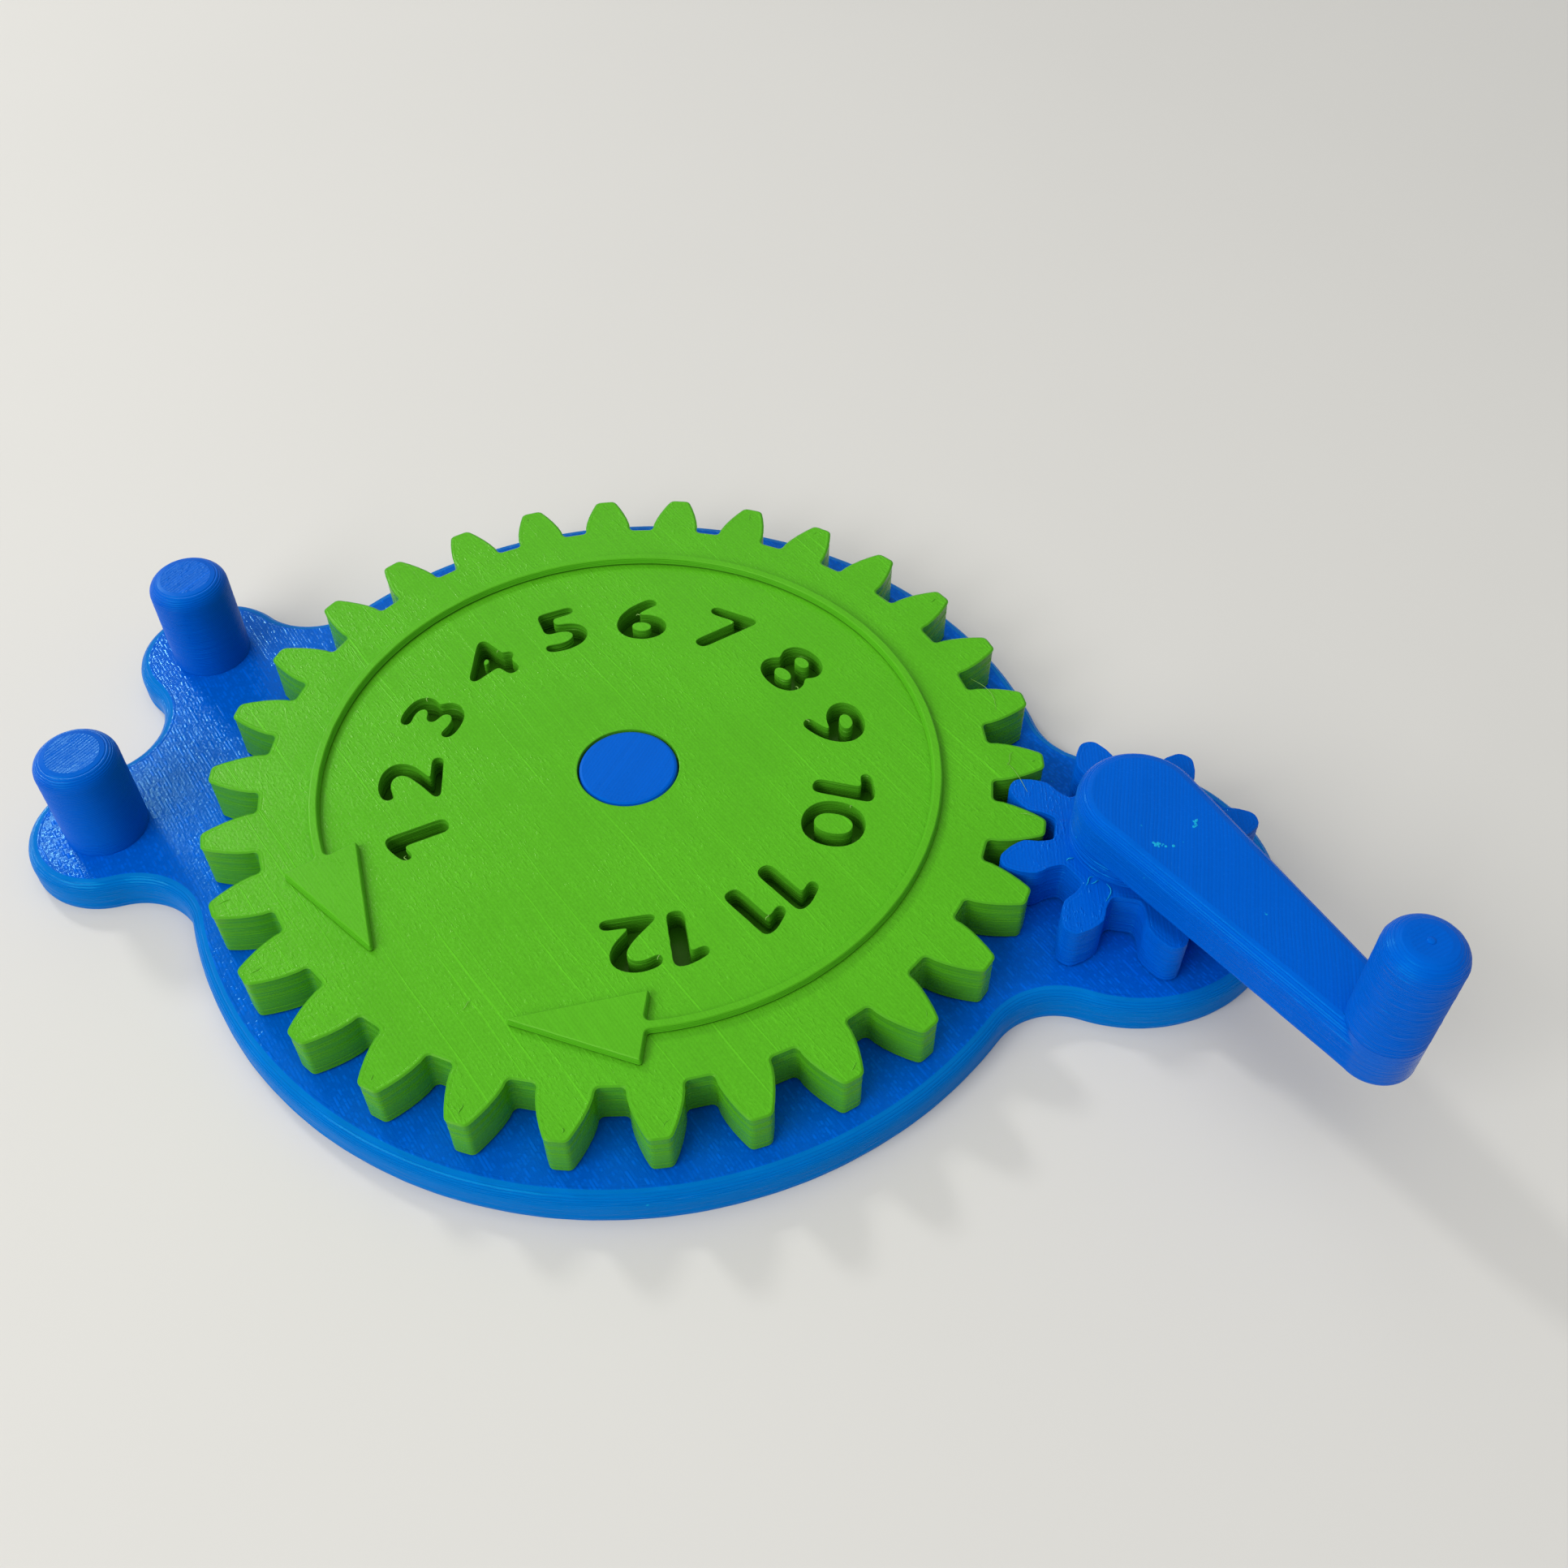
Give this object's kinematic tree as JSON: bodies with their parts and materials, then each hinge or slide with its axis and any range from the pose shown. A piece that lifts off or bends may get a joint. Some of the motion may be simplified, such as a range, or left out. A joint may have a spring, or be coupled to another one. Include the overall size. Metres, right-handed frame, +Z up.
{
  "type": "geared spinning toy",
  "caption": "Flat base with a toothed disc on a post, turned through a small pinion by a crank arm with a knob. Two finger pegs hold the base still.",
  "frame": {"origin": "on the gear's axis, on the underside of the base plate", "axes": "+Z up along both axles, +X from the gear's axis to the pinion's axis, finger pegs at -X"},
  "size_m": [0.1547, 0.1022, 0.0313],
  "materials": {
    "blue_plastic": "layer-printed plastic, satin, with fine raster and layer lines",
    "green_plastic": "layer-printed plastic, satin, with fine raster and layer lines"
  },
  "bodies": {
    "base": {"base_plate": "blue_plastic", "gear_post": "blue_plastic", "pinion_post": "blue_plastic", "rear_finger_peg": "blue_plastic", "front_finger_peg": "blue_plastic"},
    "gear": {"spin_gear": "green_plastic", "double_arrow": "green_plastic"},
    "crank": {"drive_pinion": "blue_plastic", "crank_arm": "blue_plastic", "crank_knob": "blue_plastic"}
  },
  "joints": [
    {"name": "gear_spin", "type": "hinge", "parent": "base", "child": "gear", "pos_m": [0, 0, 0.0043], "axis": [0, 0, 1], "continuous": true},
    {"name": "crank_spin", "type": "hinge", "parent": "base", "child": "crank", "pos_m": [0.0575, 0, 0.0043], "axis": [0, 0, 1], "continuous": true}
  ],
  "couplings": [
    {"joint": "crank_spin", "follows": "gear_spin", "ratio": -3.75}
  ]
}
